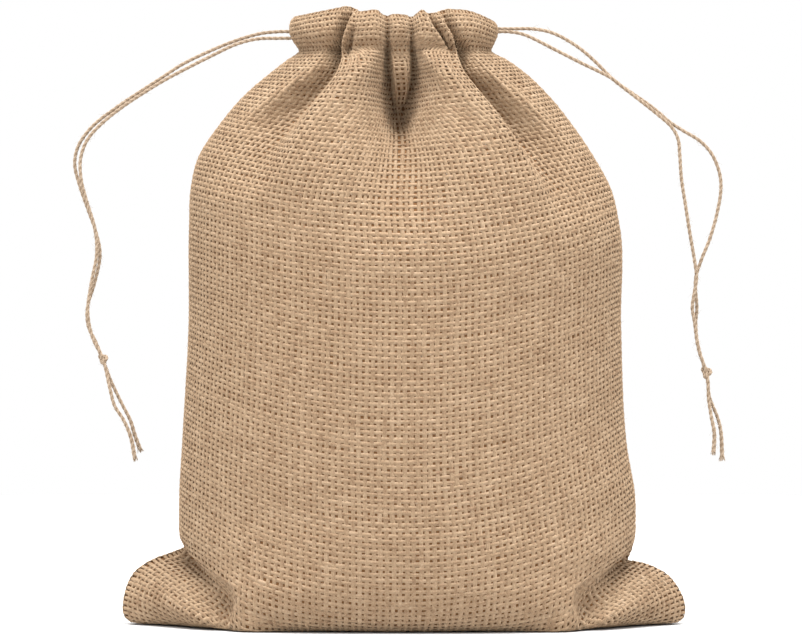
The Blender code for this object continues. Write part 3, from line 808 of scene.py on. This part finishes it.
settling = {
    "steps": 400,
    "quickSteps": 60,
    "haste": 1.2,
    # picks apart, ends apart, pull where stretched, push where squeezed
    "threads": (
        (0, 1, 1.0, 0.25),
        (1, 0, 1.0, 0.20),
        (1, 1, 0.10, 0.10),
        (1, -1, 0.10, 0.10),
        (0, 2, 0.4, 0.22),
        (2, 0, 0.4, 0.22),
        (0, 4, 0.0, 0.12),
        (4, 0, 0.0, 0.12),
    ),
    "leastEase": 0.5,  # a gathered row's threads are never cut closer than this
    "lowPicks": 60.0,  # mm up the cloth: below, it settles round the ears and the base
    "bodyHold": 0.1,
    "neckHold": 0.5,
    "seamHold": 0.5,
    "heldSeam": 62.0,  # mm up the cloth that the ears' seams are held
    "edge": 0.999,  # of the half width, past which a crossing is on the side seam
    "bending": 0.16,
    "pushOut": 0.5,
    "pullIn": 0.03,
    "clear": 1.4,  # lower than this the cloth lies under the stuffing
    "axis": 8.0,  # nearer the middle than this a valley isn't read
    "earPush": 0.25,
    "earPowers": (8.0, 3.0),  # how square the ear's stuffing is below and above its middle
    "earTip": 99.6,
    "creaseHold": 0.15,
    "creaseFree": 4.0,
    "seamGap": 0.4,  # half the gap between the two faces at the bottom seam
    "seamHeight": 0.7,
}

# where each comes in, and over what distance: by mm up the cloth, or by the share of the half
# width out from the middle
zones = {
    "bodyHeld": (60.0, 40.0),
    "neckHeld": (150.0, 30.0),
    "channel": (237.5, 12.0),
    "onBody": (44.0, 20.0),
    "baseOut": (0.7, -0.22),
    "baseUp": (37.0, -6.0),
    "tuckOut": (0.93, 0.05),
    "tuckUp": (40.0, 18.0),
    "bendingOut": (0.5, 0.2),
    "bendingUp": (74.0, -20.0),
    "earsOut": (0.5, 0.25),
    "earsUp": (30.0, 10.0),
}


def settleCloth(steps):
    # lets the cloth settle: its threads keep their cut length, it lies on what fills it and on
    # the ground, and it stays sewn at the seam and gathered at the neck
    grid, up, across, front, inward, length = clothStart()
    start = grid.copy()
    ends = grid.shape[1]
    over = np.clip(length * 2.0 / cloth["around"], settling["leastEase"], 1.0) * np.ones(grid.shape[:2])
    over = np.where(up < settling["lowPicks"], 1.0, over) * cloth["around"] / ends
    down = np.full(grid.shape[:2], cloth["tall"] / (len(grid) - 1))
    far = np.abs(across) + 0.0 * up
    edge = far > settling["edge"]
    atNeck = ramp(up, *zones["channel"]) + 0.0 * across
    hold = settling["bodyHold"] * ramp(up, *zones["bodyHeld"])
    hold = hold + settling["neckHold"] * ramp(up, *zones["neckHeld"])
    hold = np.maximum(atNeck, hold + 0.0 * across)
    hold = np.where(edge & (up < settling["heldSeam"]), settling["seamHold"], hold)
    onBody = ramp(up, *zones["onBody"]) + 0.0 * across
    flat = ramp(far, *zones["baseOut"]) ** 3 * ramp(up, *zones["baseUp"])
    mirror = (-np.arange(ends)) % ends
    lowFace = (up < settling["lowPicks"]) & ~edge
    tuck, tuckReach = zones["tuckUp"]
    nearTuck = ramp(far, *zones["tuckOut"]) * smoothStep(1.0 - np.abs(up - tuck) / tuckReach)
    bending = settling["bending"] * ramp(far, *zones["bendingOut"]) * ramp(up, *zones["bendingUp"]) * ~edge
    # the flat base lies under the stuffing, so only the ears are pushed out by theirs
    underEar = np.maximum(ramp(far, *zones["earsOut"]), ramp(up, *zones["earsUp"]))
    creased, near = grid, 0.0 * far
    for step in range(steps):
        if step == int(steps * creases["after"]):
            creased, near = drawCreases(grid)
            grid = creased.copy()
        move = np.zeros_like(grid)
        weight = np.full(grid.shape[:2], 1e-6)
        for picksApart, endsApart, stretched, squeezed in settling["threads"]:
            rest = np.hypot(picksApart * down, endsApart * over)
            pullTogether(grid, move, weight, picksApart, endsApart, rest, stretched, squeezed)
        grid += move / weight[..., None] * settling["haste"]
        # stiffness against bending near the ears: each crossing leans to its neighbours' middle
        mean = np.roll(grid, 1, axis=1) + np.roll(grid, -1, axis=1)
        mean[1:-1] = (mean[1:-1] + grid[:-2] + grid[2:]) / 4.0
        mean[0], mean[-1] = grid[0], grid[-1]
        grid += (mean - grid) * bending[..., None]
        # what fills the body: |x / wide|^n + |y / deep|^n = 1, less the valleys
        middle, wide, depth, square = sectionAt(grid[..., 2])
        dx, dy = grid[..., 0] - middle, grid[..., 1]
        reach = (np.abs(dx / wide) ** square + np.abs(dy / depth) ** square) ** (1.0 / square) + 1e-9
        target = 1.0 - inward / np.maximum(np.hypot(dx, dy), settling["axis"])
        inside = (reach < target) & (grid[..., 2] > settling["clear"])
        free = smoothStep(1.0 - settling["creaseFree"] * near)
        pull = np.where(inside, settling["pushOut"], settling["pullIn"] * onBody)
        pull = pull * (1.0 - atNeck) * (1.0 - nearTuck) * free
        scale = 1.0 + (target / reach - 1.0) * pull
        grid[..., 0] = middle + dx * scale
        grid[..., 1] = dy * scale
        # what fills the ears: y = deep sqrt(1 - |2 z / tall - 1|^n)
        deep, tall = smoothTable(earStuffing, np.abs(grid[..., 0]))
        lift = 2.0 * grid[..., 2] / tall - 1.0
        power = np.where(lift < 0.0, *settling["earPowers"])
        least = deep * np.sqrt(np.clip(1.0 - np.abs(lift) ** power, 0.0, 1.0))
        least = least * (np.abs(grid[..., 0]) < settling["earTip"])
        y = front * grid[..., 1]
        pushed = y + (least - y) * settling["earPush"] * free * underEar
        y = np.where(lowFace & (y < least), pushed, y)
        grid[..., 1] = np.where(lowFace, front * np.maximum(y, cloth["ground"]), grid[..., 1])
        grid += (creased - grid) * settling["creaseHold"] * near[..., None]
        grid += (start - grid) * hold[..., None]
        # the ground, the bottom seam and the side seams
        grid[..., 2] = np.maximum(grid[..., 2], cloth["ground"])
        grid[..., 2] += (cloth["ground"] - grid[..., 2]) * flat
        grid[0] = (grid[0] + grid[0][mirror]) / 2.0
        grid[0, :, 1], grid[0, :, 2] = settling["seamGap"] * front[0], settling["seamHeight"]
        grid[..., 1] = np.where(edge, 0.0, grid[..., 1])
    return grid


def gridNormals(grid):
    # the cross product of the ways to the next end and to the next pick
    over = np.roll(grid, -1, axis=1) - np.roll(grid, 1, axis=1)
    down = np.gradient(grid, axis=0)
    return normalise(np.cross(over, down))


def turnHem(grid):
    # adds the picks of the hem: the rows below the rim again, gap (1 - exp(-turn k)) further in
    # for the k-th of them
    normals = gridNormals(grid)
    k = np.arange(1, cloth["turnedIn"] + 1)
    inward = cloth["hemGap"] * (1.0 - np.exp(-cloth["hemTurn"] * k))[:, None, None]
    rows = len(grid) - 1 - k
    hem = grid[rows] - normals[rows] * inward
    rounded = grid.copy()
    for row, rounding in zip((-1, -2), cloth["rimRounding"]):
        rounded[row] -= normals[row] * rounding
    return np.concatenate([rounded, hem])


weave = {
    "warpWidth": 1.46,
    "weftWidth": 1.36,
    "thick": 0.46,
    "rise": 0.11,  # how far a yarn's middle stands off the cloth's middle where it passes over
    "pieces": 3,
    "wander": 0.07,  # share of the spacing that yarns wander
    "wanderEvery": 5,  # crossings for one swing
    "swellEvery": 3,
    "tones": (0.04, 0.07, 0.10),  # from yarn to yarn, along a yarn, and from corner to corner
    "fatness": (0.04, 0.07),
    "fatLimits": (0.7, 1.35),
    "roomLimits": (0.45, 1.05),  # how much a yarn narrows and widens with its room
    "warpSeed": 11,
    "weftSeed": 31,
    "stripGap": 4.5,  # unrolled yarns, four sides and a gap
}


def throughPoints(line):
    # a line's points with a midpoint between each two, (9 (b + c) - a - d) / 16, on the first axis
    padded = np.concatenate([2 * line[:1] - line[1:2], line, 2 * line[-1:] - line[-2:-1]])
    half = (-padded[:-3] + 9 * padded[1:-2] + 9 * padded[2:-1] - padded[3:]) / 16.0
    out = np.empty((2 * len(line) - 1, *line.shape[1:]))
    out[::2], out[1::2] = line, half
    return out


def slowNoise(count, length, period, seed):
    # smooth noise along each of count threads: random values a period apart, joined by smooth steps
    own = np.random.default_rng(seed)
    knots = own.normal(0.0, 1.0, (length // period + 3, count))
    at = np.linspace(0, len(knots) - 2.001, length)
    k = at.astype(int)
    t = smoothStep(at - k)[:, None]
    return knots[k] * (1 - t) + knots[k + 1] * t


def threadMesh(name, lines, normals, lift, width, thick, tone, material, closed):
    # flat-oval yarns: each follows a column of lines, which is points along by threads by xyz, at
    # line + normal lift. A yarn has four sides, through normal thick / 2 and side width / 2.
    along, threads = lines.shape[:2]
    way = np.roll(lines, -1, axis=0) - np.roll(lines, 1, axis=0) if closed else np.gradient(lines, axis=0)
    side = normalise(np.cross(normals, way))
    middle = lines + normals * lift[..., None]
    up = normals * (thick / 2.0)[..., None]
    out = side * (width / 2.0)[..., None]
    ring = np.stack([middle + up, middle + out, middle - up, middle - out], axis=2)
    points = ring.transpose(1, 0, 2, 3).reshape(-1, 3)
    points[:, 2] = np.maximum(points[:, 2], lowest)
    first = (np.arange(threads) * along * 4)[:, None, None]
    steps = along if closed else along - 1
    j = np.arange(steps)[None, :, None]
    nextJ = (j + 1) % along
    k = np.arange(4)[None, None, :]
    nextK = (k + 1) % 4
    corners = (4 * j + k, 4 * nextJ + k, 4 * nextJ + nextK, 4 * j + nextK)
    quads = np.stack([first + corner for corner in corners], axis=-1).reshape(-1, 4)
    if not closed:
        caps = first[:, 0] + np.array([[0, 1, 2, 3]])
        ends = first[:, 0] + 4 * (along - 1) + np.array([[3, 2, 1, 0]])
        quads = np.concatenate([quads, caps, ends])
    tones = np.repeat(tone.transpose(1, 0)[..., None], 4, axis=2)
    rng = np.random.default_rng(len(name) + threads)
    tones = tones + rng.normal(0.0, weave["tones"][2], tones.shape)
    # each yarn unrolled into its own strip
    u = (np.arange(steps)[None, :, None, None] + np.array([0, 1, 1, 0])) / steps
    strip = np.arange(threads)[:, None, None, None] * weave["stripGap"]
    v = (strip + k[..., None] + np.array([0, 0, 1, 1])) / (weave["stripGap"] * threads)
    u, v = np.broadcast_arrays(u, v)
    layout = np.stack([u, v], axis=-1).reshape(-1, 4, 2)
    layout = np.concatenate([layout, np.zeros((len(quads) - len(layout), 4, 2))])
    return addMesh(name, points, quads, material, [("tone", tones)], layout)


def addYarns(name, grid, normals, across, over, rest, width, closed, seed, material):
    # the yarns that run along the first axis of the grid, as a few meshes. Each wanders by
    # across noise, is lifted by over rise at its crossings, and is as wide as its room lets it.
    def smooth(values):
        # midpoints added, and round the join of a closed yarn
        if not closed:
            return throughPoints(values)
        return throughPoints(np.concatenate([values[-1:], values, values[:2]]))[2:-3]

    length = 2 * len(grid) - (0 if closed else 1)
    threads = grid.shape[1]
    wander = slowNoise(threads, len(grid), weave["wanderEvery"], seed) * weave["wander"] / 2.0
    lines = smooth(grid + across * wander[..., None])
    lineNormals = normalise(smooth(normals))
    lift = np.zeros((length, threads))
    lift[::2] = over * weave["rise"]
    room = np.linalg.norm(across, axis=-1) / 2.0 / rest
    room = smooth(np.clip(room, *weave["roomLimits"]))
    rng = np.random.default_rng(seed + 1)
    each, along = weave["tones"][:2]
    tone = 0.5 + each * rng.normal(0, 1, threads)[None, :]
    tone = tone + along * slowNoise(threads, length, weave["swellEvery"], seed + 2)
    each, along = weave["fatness"]
    fat = 1.0 + each * rng.normal(0, 1, threads)[None, :]
    fat = fat + along * slowNoise(threads, length, weave["swellEvery"], seed + 3)
    fat = np.clip(fat, *weave["fatLimits"])
    wide = width * fat * room
    thick = weave["thick"] * fat
    tone = np.clip(tone, 0, 1)
    return [
        threadMesh(
            f"{name}_{k + 1}", lines[:, part], lineNormals[:, part], lift[:, part], wide[:, part],
            thick[:, part], tone[:, part], material, closed,
        )
        for k, part in enumerate(np.array_split(np.arange(threads), weave["pieces"]))
    ]


def addWeave(grid, material):
    # every warp end and weft pick as its own yarn, over one and under the next: (-1)^(pick + end)
    picks, ends = grid.shape[:2]
    normals = gridNormals(grid)
    over = np.where((np.arange(picks)[:, None] + np.arange(ends)[None, :]) % 2 == 0, 1.0, -1.0)
    sideways = np.roll(grid, -1, axis=1) - np.roll(grid, 1, axis=1)
    upwards = 2 * np.gradient(grid, axis=0)
    warp = addYarns(
        "warp", grid, normals, sideways, over, cloth["around"] / ends, weave["warpWidth"], False,
        weave["warpSeed"], material,
    )
    # the seam's own row has no pick
    turned, turnedNormals, turnedUp = (a.transpose(1, 0, 2)[:, 1:] for a in (grid, normals, upwards))
    weft = addYarns(
        "weft", turned, turnedNormals, turnedUp, -over.T[:, 1:], cloth["tall"] / cloth["weftPicks"],
        weave["weftWidth"], True, weave["weftSeed"], material,
    )
    return warp + weft


shadeSheet = {
    "hemPicks": 2,  # picks of the hem that it covers
    "inside": 0.2,  # mm in from the yarns' middle
}


def addSheet(grid, material):
    # the sheet that the yarns make, as one surface: the crossings, a little further in; its dark colour is
    # painted shade in the holes of the weave
    picks, ends = cloth["weftPicks"] + 1 + shadeSheet["hemPicks"], grid.shape[1]
    points = grid[:picks] - gridNormals(grid)[:picks] * shadeSheet["inside"]
    j = np.arange(picks - 1)[:, None]
    i = np.arange(ends)[None, :]
    after = (i + 1) % ends
    faces = np.stack([j * ends + i, j * ends + after, (j + 1) * ends + after, (j + 1) * ends + i], axis=-1)
    return addMesh("sack_cloth", points, faces.reshape(-1, 4), material)


clothFuzz = {
    "count": 900,
    "seed": 5,
    "outwards": (0.1, 0.6),
    "bend": (-0.6, 0.5),
    "length": (0.8, 2.6),
    "thick": 0.045,
    "root": 0.25,  # mm off the cloth's middle
    "above": 3.0,  # none start lower than this
}


def addClothFuzz(grid, material):
    # loose fibres that stand off the cloth, along a way in it, across cos a + other sin a, plus
    # a little outwards
    rng = np.random.default_rng(clothFuzz["seed"])
    normals = gridNormals(grid)
    count = clothFuzz["count"]
    j, i = rng.integers(2, cloth["weftPicks"], count), rng.integers(0, grid.shape[1], count)
    out = normals[j, i]
    across = normalise(np.roll(grid, -1, axis=1)[j, i] - grid[j, i])
    angle = rng.uniform(0.0, 2.0 * math.pi, count)[:, None]
    flat = across * np.cos(angle) + np.cross(out, across) * np.sin(angle)
    ways = normalise(flat + out * rng.uniform(*clothFuzz["outwards"], (count, 1)))
    spread = out * rng.uniform(*clothFuzz["bend"], (count, 1))
    roots = grid[j, i] + out * clothFuzz["root"]
    keep = roots[:, 2] > clothFuzz["above"]
    length = rng.uniform(*clothFuzz["length"], count)
    kept = (values[keep] for values in (roots, ways, spread, length))
    return addHairs("loose_fibres", *kept, clothFuzz["thick"], rng, material)


sackJute = juteYarn("juteYarnUnbleached", juteLook)
twineJute = juteYarn("juteTwineTwoPly", twineLook)
shade = shadedJute(shadeLook)

for side, (middle, halfLength, halfWidth, lean) in overhandKnot["places"].items():
    knot = addKnot(f"knotted_{side}", middle, halfLength, halfWidth, lean, twineJute)
    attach(knot, "root")
    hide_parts(f"knot_{side}")
    for number, face in enumerate(("front", "back")):
        key = f"{side}_{face}"
        obj, path, length = addTwine(f"twine_{key}", strandRoutes[key], twineJute)
        fuzz = addFuzz(f"fray_{key}", path, 40 + number + 2 * len(side), twineJute)
        for piece in (obj, fuzz):
            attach(piece, "root")
        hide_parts(f"strand_{key}", f"tail_{key}")
        print("twine", key, "length", round(float(length), 1))
print("drawstrings made")

grid = turnHem(settleCloth(settling["steps"]))
print("cloth settled")
sheet = addSheet(grid, shade)
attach(sheet, "root")
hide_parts("sack")
yarns = [*addWeave(grid, sackJute), addClothFuzz(grid, sackJute)]
for piece in yarns:
    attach(piece, "root")
print("weave made")

# a round floor of white paper, the same white air all round it, and four soft lamps
studio = {
    "floorColour": "#c6c6c6",
    "floorRoughness": 0.95,
    "floorSpecular": 0.1,
    "floorRadius": 1.05,  # m
    "floorSides": 96,
    "airColour": "#ffffff",
    "air": 1.0,
    # place and target in m, size in m, power in W
    "lamps": {
        "softLeft": ((-0.85, -0.85, 0.72), (0.0, 0.0, 0.15), (0.5, 0.6), 5.4),
        "softRight": ((0.85, -0.85, 0.72), (0.0, 0.0, 0.15), (0.5, 0.6), 5.3),
        "softTop": ((0.0, -0.35, 1.7), (0.0, 0.0, 0.1), (0.9, 0.7), 56.0),
        "softBack": ((0.0, 1.2, 0.8), (0.0, 0.0, 0.15), (1.1, 0.6), 9.0),
    },
}


def addFloor():
    # a disc: radius (cos a, sin a), with a fan of triangles about its middle
    sides = studio["floorSides"]
    angle = 2.0 * math.pi * np.arange(sides) / sides
    ring = np.stack([np.cos(angle), np.sin(angle), 0.0 * angle], axis=1) * studio["floorRadius"] / mm
    k = np.arange(sides)
    faces = np.stack([np.full(sides, sides), k, (k + 1) % sides], axis=1)
    # seamless paper, matte, so it takes only a soft shadow
    paper = bpy.data.materials.new("paleSeamlessPaper")
    paper.use_nodes = True
    shader = paper.node_tree.nodes["Principled BSDF"]
    shader.inputs["Base Color"].default_value = hexColour(studio["floorColour"])
    shader.inputs["Roughness"].default_value = studio["floorRoughness"]
    shader.inputs["Specular IOR Level"].default_value = studio["floorSpecular"]
    addMesh("floor", np.concatenate([ring, np.zeros((1, 3))]), faces, paper)


def addLamp(name, place, target, size, power):
    # a rectangular lamp at its place, turned to face its target
    data = bpy.data.lights.new(name, "AREA")
    data.shape = "RECTANGLE"
    data.size, data.size_y = size
    data.energy = power
    lamp = bpy.data.objects.new(name, data)
    lamp.location = place
    lamp.rotation_euler = (Vector(target) - Vector(place)).to_track_quat("-Z", "Y").to_euler()
    bpy.context.scene.collection.objects.link(lamp)


def addAir():
    # even white light from everywhere
    world = bpy.data.worlds.new("studioAir")
    world.use_nodes = True
    air = world.node_tree.nodes["Background"]
    air.inputs["Color"].default_value = hexColour(studio["airColour"])
    air.inputs["Strength"].default_value = studio["air"]
    bpy.context.scene.world = world
    bpy.context.scene.view_settings.view_transform = "Standard"


addFloor()
for lampName, lamp in studio["lamps"].items():
    addLamp(lampName, *lamp)
addAir()
print("studio lit")
